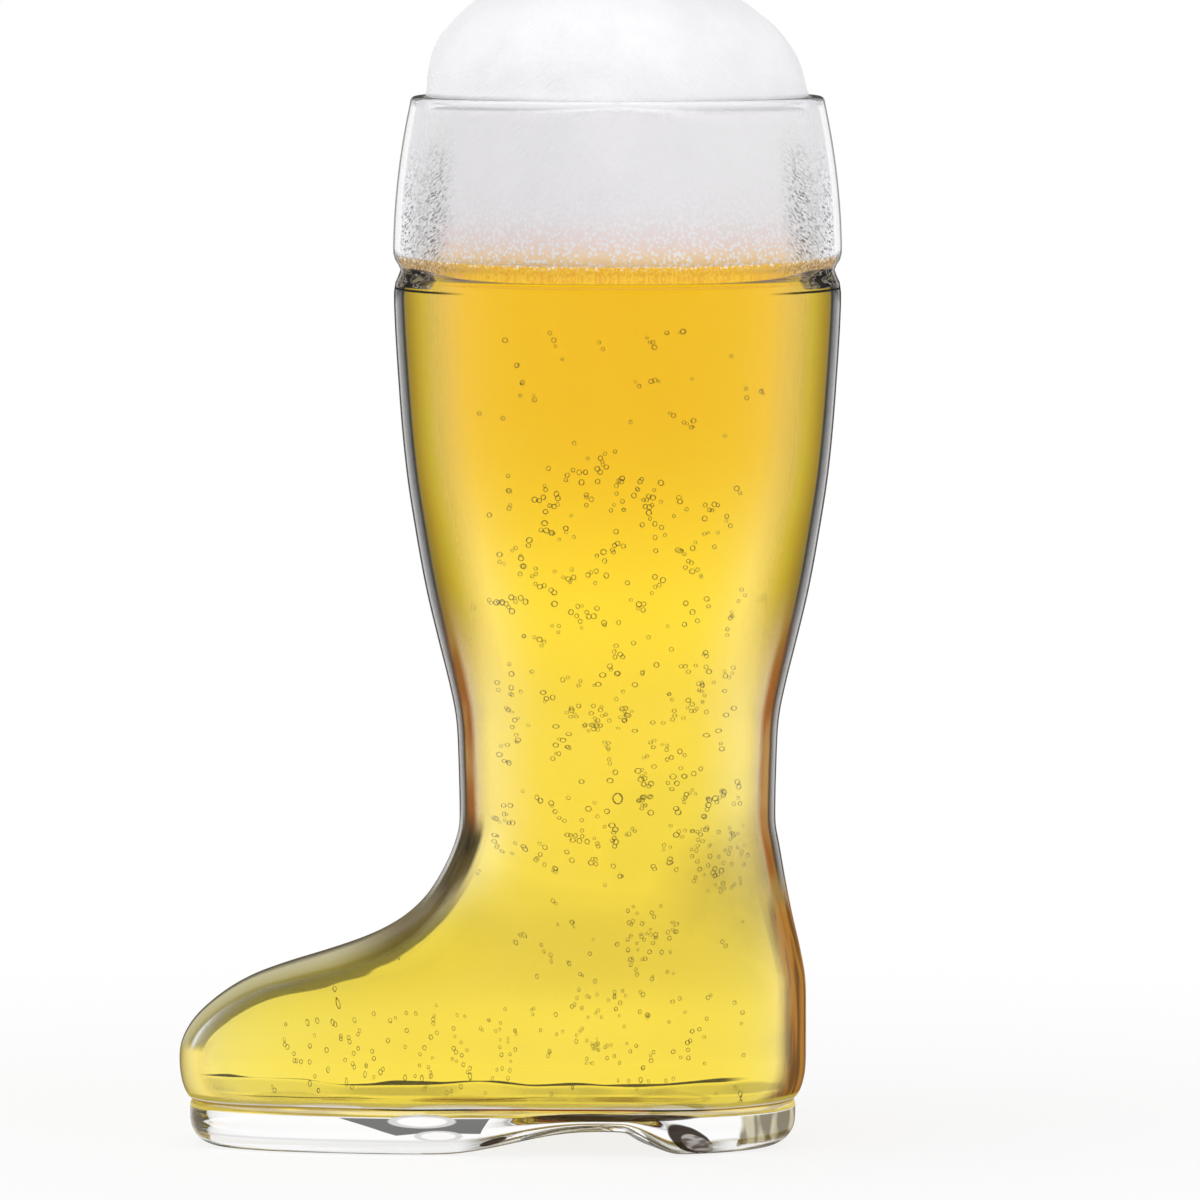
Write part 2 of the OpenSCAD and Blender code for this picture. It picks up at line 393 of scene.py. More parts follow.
def blown_glass():
    rim = [
        (rim_r - rim_round + rim_round * c, crown_low_z + rim_round * s)
        for s, c in quarter(RIM_STEPS)]
    inner_rim = [
        (rim_r - rim_round - rim_round * s, crown_low_z + rim_round * c)
        for s, c in quarter(RIM_STEPS)]
    outside = [
        *sole_under(),
        *reversed(list(sole_outside())),
        *reversed(list(foot_outside())),
        *(circle(r, z) for r, z in SHAFT_LINE),
        circle(shaft_r - groove_depth, groove_z),
        *(circle(r, z) for r, z in CUFF_LINE),
        *(circle(r, z) for r, z in rim)]
    inside = [
        *(circle(r, z) for r, z in inner_rim),
        *(circle(r, z) for r, z in reversed(BORE_LINE[:-1])),
        *hollow_rings(0)]
    floor = inside[-1]
    return lofted(
        "blown_glass",
        [*outside, *inside, *(squeezed(floor, s) for s in reversed(FACE_ROWS))],
        finishes=[len(outside) + len(inner_rim) // 2])


def sole_under():
    edge = below_belly(0, sole_in + sole_round)
    return [squeezed(edge, s) for s in FACE_ROWS]


def beer_body():
    rings = list(reversed(list(hollow_rings(film_gap))))
    side = [circle(r - film_gap, z) for r, z in BORE_LINE if z < beer_z]
    top_r = looked_up(BORE_TABLE, beer_z) - film_gap
    top = [circle(top_r * s, beer_z) for s in reversed(SURFACE_ROWS)]
    return lofted("beer_body", [
        *(squeezed(rings[0], s) for s in FACE_ROWS), *rings, *side, *top])


def lump(p):
    """How far the froth sinks in at a point between its soft lumps."""
    broad = noise.noise(p * BROAD_LUMPS) + 0.5
    fine = noise.noise(p * FINE_LUMPS + FINE_LUMPS_FROM) + 0.5
    return max(0, broad) * broad_lump + max(0, fine) * fine_lump


def foam_body():
    low_z = beer_z + film_gap
    low_r = looked_up(BORE_TABLE, low_z) - film_gap
    bottom = [circle(low_r * s, low_z) for s in SURFACE_ROWS]
    side = [circle(r - film_gap, z) for r, z in BORE_LINE if z > low_z]
    base_r = looked_up(BORE_TABLE, crown_low_z) - film_gap - crown_in
    power = 2 / CROWN_SQUARENESS
    crown = []
    for i in range(CROWN_STEPS):
        a = math.pi / 2 * i / CROWN_STEPS
        h = math.sin(a) ** power
        r = base_r * math.cos(a) ** power
        z = crown_low_z + (foam_high.z - crown_low_z) * h
        ring = circle(r, z)
        for p in ring:
            p.x -= crown_lean * h * h
            out = Vector((p.x - shaft_x, p.y, CROWN_TILT * (z - crown_low_z))).normalized()
            p -= out * lump(p) * smooth(LUMP_ONSET * h)
        crown.append(ring)
    return lofted("foam_body", [*bottom, *side, *crown])


def bubbles():
    """Gas bubbles on their way up, alone or in close bunches of two or three."""
    draws = random.Random(BUBBLE_SEED)
    round_one = bmesh.new()
    bmesh.ops.create_uvsphere(
        round_one, u_segments=BUBBLE_SEGMENTS, v_segments=BUBBLE_BANDS, radius=1)
    ball = bpy.data.meshes.new("round_bubble")
    round_one.to_mesh(ball)
    round_one.free()
    bm = bmesh.new()
    for count, low, high, width, least, most in BUBBLE_ZONES:
        for _ in range(count):
            height = draws.uniform(low, high)
            angle = draws.uniform(0, 2 * math.pi)
            reach = width * math.sqrt(draws.random())
            middle = Vector((
                shaft_x + reach * math.cos(angle), reach * math.sin(angle), height))
            bunch(bm, ball, draws, middle, draws.choice(BUNCH_SIZES), least, most)
    for count, low, high in BUBBLE_BOXES:
        for _ in range(count):
            middle = Vector([draws.uniform(a, b) * MM for a, b in zip(low, high)])
            bunch(bm, ball, draws, middle, 1, *BOX_BUBBLE_R)
    bunch(bm, ball, draws, BIG_BUBBLE_AT, 1, BIG_BUBBLE_R, BIG_BUBBLE_R)
    bpy.data.meshes.remove(ball)
    return piece("bubbles", bm)


def bunch(bm, ball, draws, middle, count, least, most):
    """Adds one bubble, or several that cling together, at a point in the beer.

    Each is a little taller than wide, because the round glass spreads it sideways.
    """
    for n in range(count):
        size = draws.uniform(least, most)
        away = Vector((draws.uniform(-1, 1), draws.uniform(-1, 1), draws.uniform(-2, 2)))
        away = away * size * BUNCH_SPREAD * (n > 0)
        shape = Matrix.Diagonal((size, size, size * BUBBLE_TALL, 1))
        place = Matrix.Translation(middle + away) @ shape
        ball.transform(place)
        bm.from_mesh(ball)
        ball.transform(place.inverted())


class Field:
    """A number that changes over a surface. Sums on fields add Math nodes."""

    def __init__(self, nodes, socket):
        self.nodes = nodes
        self.socket = socket

    def maths(self, operation, *values):
        made = self.nodes.add("ShaderNodeMath", {"operation": operation}, dict(enumerate(values)))
        return Field(self.nodes, made.outputs[0])

    def __add__(self, other):
        return self.maths("ADD", self, other)

    def __radd__(self, other):
        return self.maths("ADD", other, self)

    def __sub__(self, other):
        return self.maths("SUBTRACT", self, other)

    def __rsub__(self, other):
        return self.maths("SUBTRACT", other, self)

    def __mul__(self, other):
        return self.maths("MULTIPLY", self, other)

    def __rmul__(self, other):
        return self.maths("MULTIPLY", other, self)

    def __truediv__(self, other):
        return self.maths("DIVIDE", self, other)

    def __pow__(self, other):
        return self.maths("POWER", self, other)

    def __abs__(self):
        return self.maths("ABSOLUTE", self)

    def highest(self, other):
        return self.maths("MAXIMUM", self, other)

    def between(self, low, high):
        """0 below low and 1 above high, with a smooth step between them."""
        made = self.nodes.add(
            "ShaderNodeMapRange", {"interpolation_type": "SMOOTHSTEP"},
            {"Value": self, "From Min": low, "From Max": high})
        return Field(self.nodes, made.outputs["Result"])

    def from_mm(self, low, high):
        """The same step for a length in metres, between two lengths in millimetres."""
        return self.between(low * MM, high * MM)

    def strip(self, low, full, fading, gone):
        """1 from full to fading, and 0 below low and above gone, all in millimetres."""
        return self.from_mm(low, full) * (1 - self.from_mm(fading, gone))


class Nodes:
    """The node tree of a material or of the world."""

    def __init__(self, owner):
        owner.use_nodes = True
        self.tree = owner.node_tree
        self.tree.nodes.clear()

    def add(self, kind, settings=None, inputs=None):
        node = self.tree.nodes.new(kind)
        for key, value in (settings or {}).items():
            if key == "stops":
                self.set_stops(node.color_ramp, value)
            else:
                setattr(node, key, value)
        for key, value in (inputs or {}).items():
            self.feed(node.inputs[key], value)
        return node

    def set_stops(self, ramp, stops):
        ramp.elements.remove(ramp.elements[1])
        for n, (at, colour) in enumerate(stops):
            stop = ramp.elements.new(at) if n else ramp.elements[0]
            stop.position = at
            stop.color = colour if isinstance(colour, tuple) else grey(colour)

    def ramp(self, factor, stops):
        """A colour, or a share, that follows a number through a row of stops."""
        return self.add("ShaderNodeValToRGB", {"stops": stops}, {0: factor}).outputs[0]

    def share(self, factor, stops):
        return Field(self, self.ramp(factor, stops))

    def feed(self, socket, value):
        if isinstance(value, Field):
            self.tree.links.new(value.socket, socket)
        elif isinstance(value, bpy.types.NodeSocket):
            self.tree.links.new(value, socket)
        elif isinstance(value, bpy.types.Node):
            self.tree.links.new(value.outputs[0], socket)
        else:
            socket.default_value = value

    def field(self, node, output):
        return Field(self, node.outputs[output])

    def mixed(self, factor, a, b):
        """A colour between two colours."""
        node = self.add("ShaderNodeMix", {"data_type": "RGBA"}, {0: factor, 6: a, 7: b})
        return node.outputs[2]

    def shaders(self, factor, a, b):
        """A Mix Shader between two shaders."""
        return self.add("ShaderNodeMixShader", None, {0: factor, 1: a, 2: b})

    def facing(self):
        node = self.add("ShaderNodeLayerWeight", None, {"Blend": 0.5})
        return self.field(node, "Facing")

    def cells(self, place, scale):
        """The distance from the middle of the nearest round cell, for froth."""
        node = self.add("ShaderNodeTexVoronoi", {"feature": "SMOOTH_F1"}, {
            "Vector": place, "Scale": scale, "Smoothness": 0.4})
        return self.field(node, "Distance")

    def shown(self):
        """Rays that show the surroundings: straight from the camera, reflected or refracted."""
        straight = self.ray("Is Camera Ray")
        return straight.highest(self.ray("Is Glossy Ray")).highest(self.ray("Is Transmission Ray"))

    def finish(self, seen, lamp_tint, volume=None):
        """The output of a clear material, which lets the lamps through to what it holds."""
        lamps = self.add("ShaderNodeBsdfTransparent", None, {"Color": lamp_tint})
        surface = self.shaders(self.ray("Is Shadow Ray"), seen, lamps)
        out = self.add("ShaderNodeOutputMaterial", None, {"Surface": surface})
        if volume:
            self.feed(out.inputs["Volume"], volume)

    def ray(self, name):
        return self.field(self.add("ShaderNodeLightPath"), name)

    def place(self):
        return self.add("ShaderNodeTexCoord").outputs["Object"]

    def part(self, vector, axis):
        """One of the three numbers of a place or a direction."""
        return self.field(self.add("ShaderNodeSeparateXYZ", None, {0: vector}), axis)

    def along(self, place):
        return self.part(place, "X")

    def aside(self, place):
        return self.part(place, "Y")

    def heights(self, place):
        return self.part(place, "Z")

    def upward(self):
        """How far a surface faces up, from 1 on top to -1 underneath."""
        return self.part(self.add("ShaderNodeTexCoord").outputs["Normal"], "Z")

    def sideways(self):
        """How far a surface faces to either side, from 1 there to 0 upright or endwise."""
        return abs(self.part(self.add("ShaderNodeTexCoord").outputs["Normal"], "Y"))

    def leaning(self, place):
        """Coordinates that lean outwards on their way down, as the froth's grain does."""
        spread = abs(self.along(place) - shaft_x)
        height = self.heights(place)
        return self.add("ShaderNodeCombineXYZ", None, {
            0: (spread - height) * GRAIN_STRETCH,
            1: self.aside(place) * GRAIN_STRETCH,
            2: spread + height})

    def shaded_froth_grain(self, place):
        """The froth's grain against the glass: grey, with painted shade in its hollows and painted
        highlights on its beads.
        """
        grain = self.noise(self.leaning(place), 2100.0, 2.0, 0.6)
        specks = self.mixed(
            grain.between(0.36, 0.47), rgb(0.07, 0.06, 0.055), rgb(0.74, 0.74, 0.76))
        return self.mixed(grain.between(0.54, 0.6), specks, grey(1))

    def blend(self, factor, a, b):
        """A number between two numbers."""
        return self.field(self.add("ShaderNodeMix", None, {0: factor, 2: a, 3: b}), 0)

    def noise(self, place, scale, detail=2.0, roughness=0.5, stretch=None):
        """Clouds of so many to a metre, closer together where stretch is above 1."""
        if stretch:
            moved = self.add("ShaderNodeMapping", None, {"Vector": place, "Scale": stretch})
            place = moved.outputs[0]
        node = self.add("ShaderNodeTexNoise", None, {
            "Vector": place, "Scale": scale, "Detail": detail, "Roughness": roughness})
        return self.field(node, 0)


def material(name):
    made = bpy.data.materials.new(name)
    return made, Nodes(made)


def rgb(red, green, blue):
    return (red, green, blue, 1)


def grey(level):
    return rgb(level, level, level)


GLASS_IOR = 1.5
GLASS_TINT = grey(0.97)
BEER_IOR = 1.34
BEER_DENSITY = 47.0
FOAM_IOR = 1.3
GRAIN_STRETCH = 0.3

# Where one look gives way to the next, in millimetres up, along or across the boot.
SHAFT_START = (100, 130)
CUFF_START = (196, 198)
FOOT_END = (52, 64)
SOLE_END = (9, 11)
HEEL_START = (20, 35)
NEAR_SIDE_END = (-4, 0)

# How far the surface has turned away where the wall starts, at z = 0 and for each metre up.
WALL_START = 0.489
WALL_START_RISE = 0.53

# The glass's edges are painted: dark and coloured bands stand in for the light that the glass bends
# at its sides.
# How strongly the glass's edge shows. The shaft's and the ankle's run from the wall's inner
# side (0) to the outline (1), and the others from facing the eye (0) to edge on (1).
SHAFT_EDGE = [
    (0.12, 0.0), (0.22, 0.6), (0.29, 0.95), (0.34, 0.95), (0.38, 0.86), (0.46, 0.76),
    (0.56, 0.62), (0.66, 0.4), (0.7, 0.45), (0.74, 0.92), (1, 0.95)]
OLIVE_VEIL = [(0.28, 0.0), (0.38, 0.42), (0.46, 0.84), (0.56, 0.96)]
ANKLE_EDGE = [
    (0, 0.1), (0.09, 0.75), (0.15, 0.97), (0.4, 0.98), (0.45, 0.85), (0.52, 0.68), (0.62, 0.5),
    (0.7, 0.42), (0.74, 0.9), (1, 0.95)]
INSTEP_EDGE = [
    (0.45, 0.0), (0.49, 0.88), (0.56, 0.98), (0.78, 0.98), (0.81, 0.5), (0.88, 0.4), (0.93, 0.9)]
VAMP_EDGE = [(0.5, 0.0), (0.58, 0.9), (0.9, 0.9), (0.95, 0.95)]
TOE_EDGE = [(0.26, 0.0), (0.4, 0.93), (1, 0.97)]
HEEL_EDGE = [(0.38, 0.0), (0.5, 0.7), (0.6, 0.98), (0.9, 0.98), (1, 0.6)]
CUFF_EDGE = [
    (0.5, 0.0), (0.64, 0.8), (0.735, 0.8), (0.755, 0.0), (0.86, 0.0), (0.9, 0.62), (1, 0.66)]
SOLE_EDGE = [(0.88, 0.0), (0.94, 0.5), (1, 0.6)]

# The edge's painted colours, from its inner side to its outline.
OLIVE = [
    (0.3, rgb(0.85, 0.58, 0.02)), (0.38, rgb(0.74, 0.52, 0.01)), (0.46, rgb(0.6, 0.44, 0.012)),
    (0.56, rgb(0.43, 0.28, 0.015)), (0.65, rgb(0.25, 0.17, 0.02))]
BROWN = [
    (0, rgb(0.6, 0.34, 0.06)), (0.12, rgb(0.36, 0.12, 0.012)), (0.3, rgb(0.3, 0.095, 0.008)),
    (0.38, rgb(0.1, 0.05, 0.015)), (0.5, rgb(0.04, 0.025, 0.015))]
TAN = [
    (0.4, rgb(0.27, 0.22, 0.03)), (0.6, rgb(0.29, 0.24, 0.045)), (0.66, rgb(0.43, 0.37, 0.13)),
    (0.86, rgb(0.54, 0.49, 0.26)), (0.92, rgb(0.08, 0.06, 0.02))]
STRAW = [
    (0.3, rgb(0.96, 0.74, 0.13)), (0.45, rgb(1, 0.82, 0.22)), (0.65, rgb(0.75, 0.6, 0.16)),
    (0.8, rgb(0.5, 0.42, 0.13)), (0.92, rgb(0.25, 0.2, 0.07))]
OUTLINE = grey(0.03)

# Above the sole: a painted bright hem, a painted dark band, silver and straw, by share of the hem's
# height.
HEM_LINES = [
    (0, 0.8), (0.05, 0.85), (0.07, 0.96), (0.27, 0.96), (0.3, 0.6), (0.42, 0.6),
    (0.5, 0.7), (0.9, 0.7), (1, 0.0)]
HEM_FOOT = 10.3
HEM_HEIGHT = 2

# In the groove under the cuff, in millimetres above the height named with each.
SHADOW_FOOT = 194.4
SHADOW_LINE = [(0, 0.0), (0.2, 0.6), (0.6, 0.6), (0.9, 0.0)]
# A painted dark line in the groove.
DARK_LINE_FOOT = 192.5
DARK_LINE_SHARES = [(0.3, 0.0), (0.4, 0.97), (0.75, 0.97), (0.85, 0.0)]
# The painted light and dark lines in the groove, by noise.
BENT_LIGHT_INKS = [
    (0.4, rgb(0.012, 0.011, 0.01)), (0.46, rgb(0.07, 0.06, 0.045)), (0.48, rgb(0.4, 0.38, 0.34)),
    (0.5, rgb(0.05, 0.045, 0.035)), (0.56, rgb(0.015, 0.013, 0.01)), (0.6, rgb(0.22, 0.19, 0.12))]

# The painted grey wedge's lower side in the sole, in centimetres up, from x = -50 mm (0) to 0 (1).
WEDGE_LOW = [(0.15, 0.98), (0.5, 0.48), (0.62, 0.55), (0.87, 0.52), (0.93, 0.98)]
LEAF_COS = 0.87
LEAF_SIN = 0.5


class GlassMarks:
    """Painted light and shade on the glass where it bends light: dark edges, lines in the grooves
    and painted reflections in the sole.

    strength is how much of a mark a spot shows, ink is its colour, and glow is where a painted
    highlight shines by itself.
    """

    def __init__(self, nodes):
        self.nodes = nodes
        self.spot = nodes.place()
        self.height = nodes.heights(self.spot)
        self.along = nodes.along(self.spot)
        self.near = 1 - nodes.aside(self.spot).from_mm(*NEAR_SIDE_END)
        self.upward = nodes.upward()
        self.edge = nodes.facing()
        wall_start = self.height * WALL_START_RISE + WALL_START
        self.across_wall = (self.edge - wall_start) / (1 - wall_start)
        self.painted_veil = self.edge - self.height.from_mm(120, 160) * 0.06
        self.wisp = nodes.noise(self.spot, 90.0, 2.0)
        self.shaft = self.height.from_mm(*SHAFT_START)
        self.foot = 1 - self.height.from_mm(*FOOT_END)
        self.heel = self.foot * self.along.from_mm(*HEEL_START)
        self.cuff = self.height.from_mm(*CUFF_START)
        self.instep = self.height.strip(52, 56, 70, 78) * (1 - self.along.from_mm(-4, 4))
        self.strength = self.edge_strength()
        self.ink = OUTLINE
        self.hem()
        self.ink = nodes.mixed(self.height.from_mm(12, 12.5), self.ink, self.edge_ink())
        self.groove()
        self.painted_beer_shade()
        self.rim()
        self.sole()

    def lay(self, strength, where, ink):
        """Adds a mark, and takes its ink where it lies."""
        self.strength = self.strength.highest(strength)
        self.ink = self.nodes.mixed(where, self.ink, ink)

    def edge_strength(self):
        # Painted dark edges: how strongly each part of the glass shows its painted edge shade.
        nodes = self.nodes
        shaft_edge = nodes.share(self.across_wall, SHAFT_EDGE)
        olive_veil = nodes.share(self.painted_veil, OLIVE_VEIL)
        shaft_edge = shaft_edge.highest(olive_veil * (1 - self.across_wall.between(0.3, 0.36)))
        ankle_edge = nodes.blend(
            self.instep, nodes.share(self.across_wall, ANKLE_EDGE),
            nodes.share(self.edge, INSTEP_EDGE))
        lapping = nodes.noise(self.spot, 45.0, 2.0, stretch=(1, 1, 0.5)) - 0.5
        heel_edge = nodes.share(self.edge + lapping * 0.16, HEEL_EDGE)
        foot_edge = nodes.blend(
            self.upward.between(0.15, 0.4), nodes.share(self.edge, TOE_EDGE),
            nodes.share(self.edge, VAMP_EDGE))
        foot_edge = nodes.blend(self.heel, foot_edge, heel_edge)
        strength = nodes.blend(
            self.foot, nodes.blend(self.shaft, ankle_edge, shaft_edge), foot_edge)
        strength = nodes.blend(
            self.height.from_mm(*SOLE_END), nodes.share(self.edge, SOLE_EDGE), strength)
        return nodes.blend(self.cuff, strength, nodes.share(self.edge, CUFF_EDGE))

    def edge_ink(self):
        """Painted edge colours: olive up the shaft, brown at the ankle, straw and tan on the foot,
        froth in the cuff.
        """
        nodes = self.nodes
        olive = nodes.mixed(
            self.across_wall.between(0.24, 0.31), nodes.ramp(self.painted_veil, OLIVE),
            rgb(0.02, 0.018, 0.012))
        # Painted lighter streaks in the ankle's brown edge.
        painted_light_streaks = nodes.noise(self.spot, 70.0, 2.0, stretch=(1, 1, 0.6)).between(0.42, 0.62)
        painted_light_streaks = painted_light_streaks * (0.6 - self.across_wall.between(0.3, 0.4) * 0.6)
        brown = nodes.mixed(painted_light_streaks, nodes.ramp(self.across_wall, BROWN), rgb(0.6, 0.38, 0.12))
        # Painted shade over the instep, in dark clouds.
        shade_clouds = nodes.noise(self.spot, 120.0, stretch=(1, 1, 0.4)).between(0.35, 0.6)
        instep_shade = nodes.mixed(shade_clouds, rgb(0.02, 0.013, 0.006), rgb(0.1, 0.07, 0.022))
        brown = nodes.mixed(self.instep, brown, instep_shade)
        tan = nodes.ramp(self.edge, TAN)
        tan = nodes.mixed(self.along.from_mm(-42, -22), tan, rgb(0.14, 0.1, 0.018))
        tan = nodes.mixed(self.along.from_mm(-18, -6), tan, rgb(0.07, 0.048, 0.012))
        tan = nodes.mixed(self.upward.between(0.15, 0.4), nodes.ramp(self.edge, STRAW), tan)
        # Painted orange-brown bands of bent light at the heel's edge.
        streaks = nodes.noise(self.spot, 260.0, stretch=(1, 1, 0.12)).between(0.4, 0.6)
        painted_heel_edge = nodes.mixed(streaks, rgb(0.46, 0.2, 0.025), rgb(0.17, 0.07, 0.01))
        ink = nodes.mixed(self.shaft, brown, olive)
        ink = nodes.mixed(self.foot, ink, tan)
        ink = nodes.mixed(self.heel, ink, painted_heel_edge)
        # Below this the cuff's edge shows the froth grain with its painted shade and highlights.
        shaded_grain_zone = 1 - self.height.from_mm(206, 231)
        froth = nodes.mixed(shaded_grain_zone, rgb(0.74, 0.735, 0.76), nodes.shaded_froth_grain(self.spot))
        froth = nodes.mixed(self.edge.between(0.76, 0.85), froth, OUTLINE)
        return nodes.mixed(self.cuff, ink, froth)

    def hem(self):
        """Painted bright, dark, silver and straw lines of bent light above the sole."""
        nodes = self.nodes
        sway = nodes.noise(self.spot, 30.0, 1.0) - 0.5
        rise = (self.height * MM_PER_M - HEM_FOOT + sway * 0.7) / HEM_HEIGHT
        lines = nodes.share(rise, HEM_LINES) * self.height.from_mm(10, 10.2)
        lip = self.height.strip(8.8, 9, 10.1, 10.3)
        shade_patches = nodes.noise(self.spot, 55.0, 1.0, stretch=(1, 0.3, 0.3)).between(0.45, 0.6)
        hem_shade = nodes.mixed(shade_patches, rgb(0.012, 0.008, 0.004), rgb(0.3, 0.06, 0.008))
        hem_shade = nodes.mixed(self.along.strip(-34, -26, 40, 50), rgb(0.45, 0.3, 0.06), hem_shade)
        # A painted highlight, streaked.
        gleam = nodes.noise(self.spot, 150.0, 2.0, stretch=(0.35, 0.35, 5)).between(0.4, 0.6)
        gleam = nodes.mixed(gleam, rgb(0.5, 0.37, 0.045), rgb(0.95, 0.78, 0.12))
        ink = nodes.mixed(rise.between(0.05, 0.08), gleam, hem_shade)
        ink = nodes.mixed(rise.between(0.27, 0.3), ink, rgb(0.7, 0.67, 0.62))
        ink = nodes.mixed(rise.between(0.42, 0.5), ink, rgb(0.55, 0.44, 0.08))
        self.lay(lines.highest(lip * 0.7), self.height.from_mm(8.7, 8.8), ink)

    def groove(self):
        """The beaded fringe of wet froth, with painted shade at its sides, and the painted shadow
        and painted light and dark lines of the groove under it.
        """
        nodes = self.nodes
        edge = self.edge
        limb = edge.between(0.1, 0.65)
        front = 1 - edge.between(0.8, 0.9)
        fringe_top = self.height - 0.8 * MM * limb
        fringe_low = self.height - 2 * MM * limb
        fringe = fringe_low.from_mm(195.5, 196) * (1 - fringe_top.from_mm(199.3, 200.1))
        ribs = nodes.noise(self.spot, 2600.0, 0.0, stretch=(1, 1, 0.05))
        honey = nodes.mixed(ribs.between(0.35, 0.65), rgb(0.98, 0.62, 0.05), rgb(0.92, 0.46, 0.04))
        # Painted shade: the honey is darker towards the fringe's sides.
        shaded_honey = nodes.mixed(
            ribs.between(0.5, 0.6), rgb(0.4, 0.23, 0.07), rgb(0.75, 0.58, 0.36))
        honey = nodes.mixed(edge.between(0.2, 0.6), honey, shaded_honey)
        beads = 1 - nodes.cells(self.spot, 1100.0).between(0.25, 0.45)
        honey = nodes.mixed(beads * fringe_top.from_mm(198.4, 199.5), honey, rgb(0.98, 0.92, 0.82))
        shadow = nodes.share(self.height * MM_PER_M - SHADOW_FOOT, SHADOW_LINE)
        shadow = shadow * (1 - edge.between(0.2, 0.5))
        facets = nodes.noise(self.spot, 300.0, 1.0, stretch=(0.7, 0.7, 2.2))
        bent_light_lines = self.height.from_mm(193.6, 193.9) * (1 - fringe_low.from_mm(195.4, 196))
        bent_light_lines = bent_light_lines * edge.between(0.44, 0.56)
        dark_groove_line = nodes.share(self.height * MM_PER_M - DARK_LINE_FOOT, DARK_LINE_SHARES) * edge.between(0.25, 0.42)
        self.lay(shadow, shadow.between(0, 0.1), rgb(0.75, 0.4, 0.05))
        self.lay(fringe * (front * 0.9), fringe * front, honey)
        self.lay(bent_light_lines * (front * 0.95), bent_light_lines.between(0, 0.2), nodes.ramp(facets, BENT_LIGHT_INKS))
        self.lay(dark_groove_line, dark_groove_line.between(0, 0.1), rgb(0.012, 0.01, 0.008))

    def painted_beer_shade(self):
        """Painted shade on the beer: over the heel, and right through the foot."""
        over_heel = self.height.strip(36, 60, 64, 88) * self.along.from_mm(20, 56)
        over_heel = over_heel * 0.38 * (0.6 + self.wisp * 0.8)
        in_foot = self.height.strip(28, 42, 50, 62) * (1 - self.edge.between(0.2, 0.4)) * 0.12
        painted_shade = over_heel.highest(in_foot)
        bare = 1 - self.strength.between(0.3, 0.5)
        self.lay(painted_shade, painted_shade.between(0, 0.01) * bare, rgb(0.28, 0.2, 0.06))

    def rim(self):
        """The rim's painted dark outline, and a painted pale band of light over the foam just under
        it.
        """
        line = self.height.from_mm(235, 235.7) * self.edge.between(0.78, 0.9) * 0.92
        painted_veil = self.height.from_mm(233.6, 234.8) * (1 - self.edge.between(0.35, 0.65)) * 0.78
        self.lay(line, line.between(0, 0.2), rgb(0.03, 0.022, 0.015))
        self.lay(painted_veil, painted_veil.between(0, 0.1), rgb(0.92, 0.92, 0.94))

    def oval(self, along, up, half_l, half_h, lean=0.0):
        """0 in the middle of an oval in the sole, 1 on its outline. Sizes are in mm."""
        over = self.along - along * MM
        above = self.height - up * MM
        if lean:
            above = above - over * lean
        return (over / (half_l * MM)) ** 2 + (above / (half_h * MM)) ** 2

    def leaf(self, along, up, half_l, half_h):
        """The same for an oval whose toe end is turned up by 30 degrees."""
        over = self.along - along * MM
        above = self.height - up * MM
        lengthwise = (over * LEAF_COS - above * LEAF_SIN) / (half_l * MM)
        crosswise = (over * LEAF_SIN + above * LEAF_COS) / (half_h * MM)
        return lengthwise ** 2 + crosswise ** 2

    def filled(self, oval, ragged=0.0, soft=0.2):
        """1 inside an oval and 0 outside it, with an outline that wisps may fray."""
        if ragged:
            oval = oval + (self.wisp - 0.5) * ragged
        return 1 - oval.between(1 - soft, 1)

    def sole(self):
        """Painted reflections and highlights in the thick clear sole, most of them only on the near
        side that the camera faces.
        """
        nodes = self.nodes
        near = self.near
        wisp = self.wisp
        sole_top = 1 - self.height.from_mm(8.6, 8.8)

        # Painted reflections: a grey wedge, two white highlight ovals, and darker shapes, a patch
        # with grey facets, a streak, a fleck, a block at the heel end and a mark at the toe.
        wedge_low = nodes.share(self.along * 20 + 1 + (wisp - 0.5) * 0.06, WEDGE_LOW)
        wedge = (self.height * CM_PER_M - wedge_low).between(0.0, 0.015) * sole_top * near
        upper = self.oval(-19.5, 8.1, 8, 1.6)
        lower = self.oval(-15.8, 4.8, 5.6, 1.3)
        ovals = self.filled(upper).highest(self.filled(lower))
        middles = (1 - upper.between(0, 0.9)).highest(1 - lower.between(0, 0.9))
        patch = self.filled(self.leaf(39.9, 4.1, 6, 2.9), 1.4)
        core = self.filled(self.leaf(42.1, 2.7, 4.5, 1.9), 1.2)
        streak = self.filled(self.oval(22, 8.9, 21, 0.9), 0.8, 0.25)
        small_dark_reflection = self.filled(self.oval(-3.5, 3.45, 3.2, 0.7, lean=0.3), 0.6)
        block = (self.along - (wisp - 0.5) * (4 * MM)).from_mm(51.2, 52.2)
        block = block * self.height.strip(1.5, 2.6, 8.5, 8.8)
        toe_dark_reflection = (self.along + self.height * 0.25).strip(-70.5, -69, -68, -66.2)
        toe_dark_reflection = toe_dark_reflection * self.height.strip(1.5, 4, 7.8, 8.6)
        # A painted dark line along the base, and a painted white highlight that glows low on the
        # sides.
        sideways = nodes.sideways()
        below = 1 - self.height.from_mm(7.8, 8.4)
        base_line = sideways.between(0.1, 0.15) * (1 - sideways.between(0.32, 0.42))
        base_line = base_line * (1 - self.upward.between(-0.8, -0.7)) * below
        level = (1 - self.along.from_mm(-12, 0)).highest(self.along.from_mm(40, 50))
        glow = sideways.between(0.36, 0.46) * (1 - self.upward.between(-0.5, -0.32))

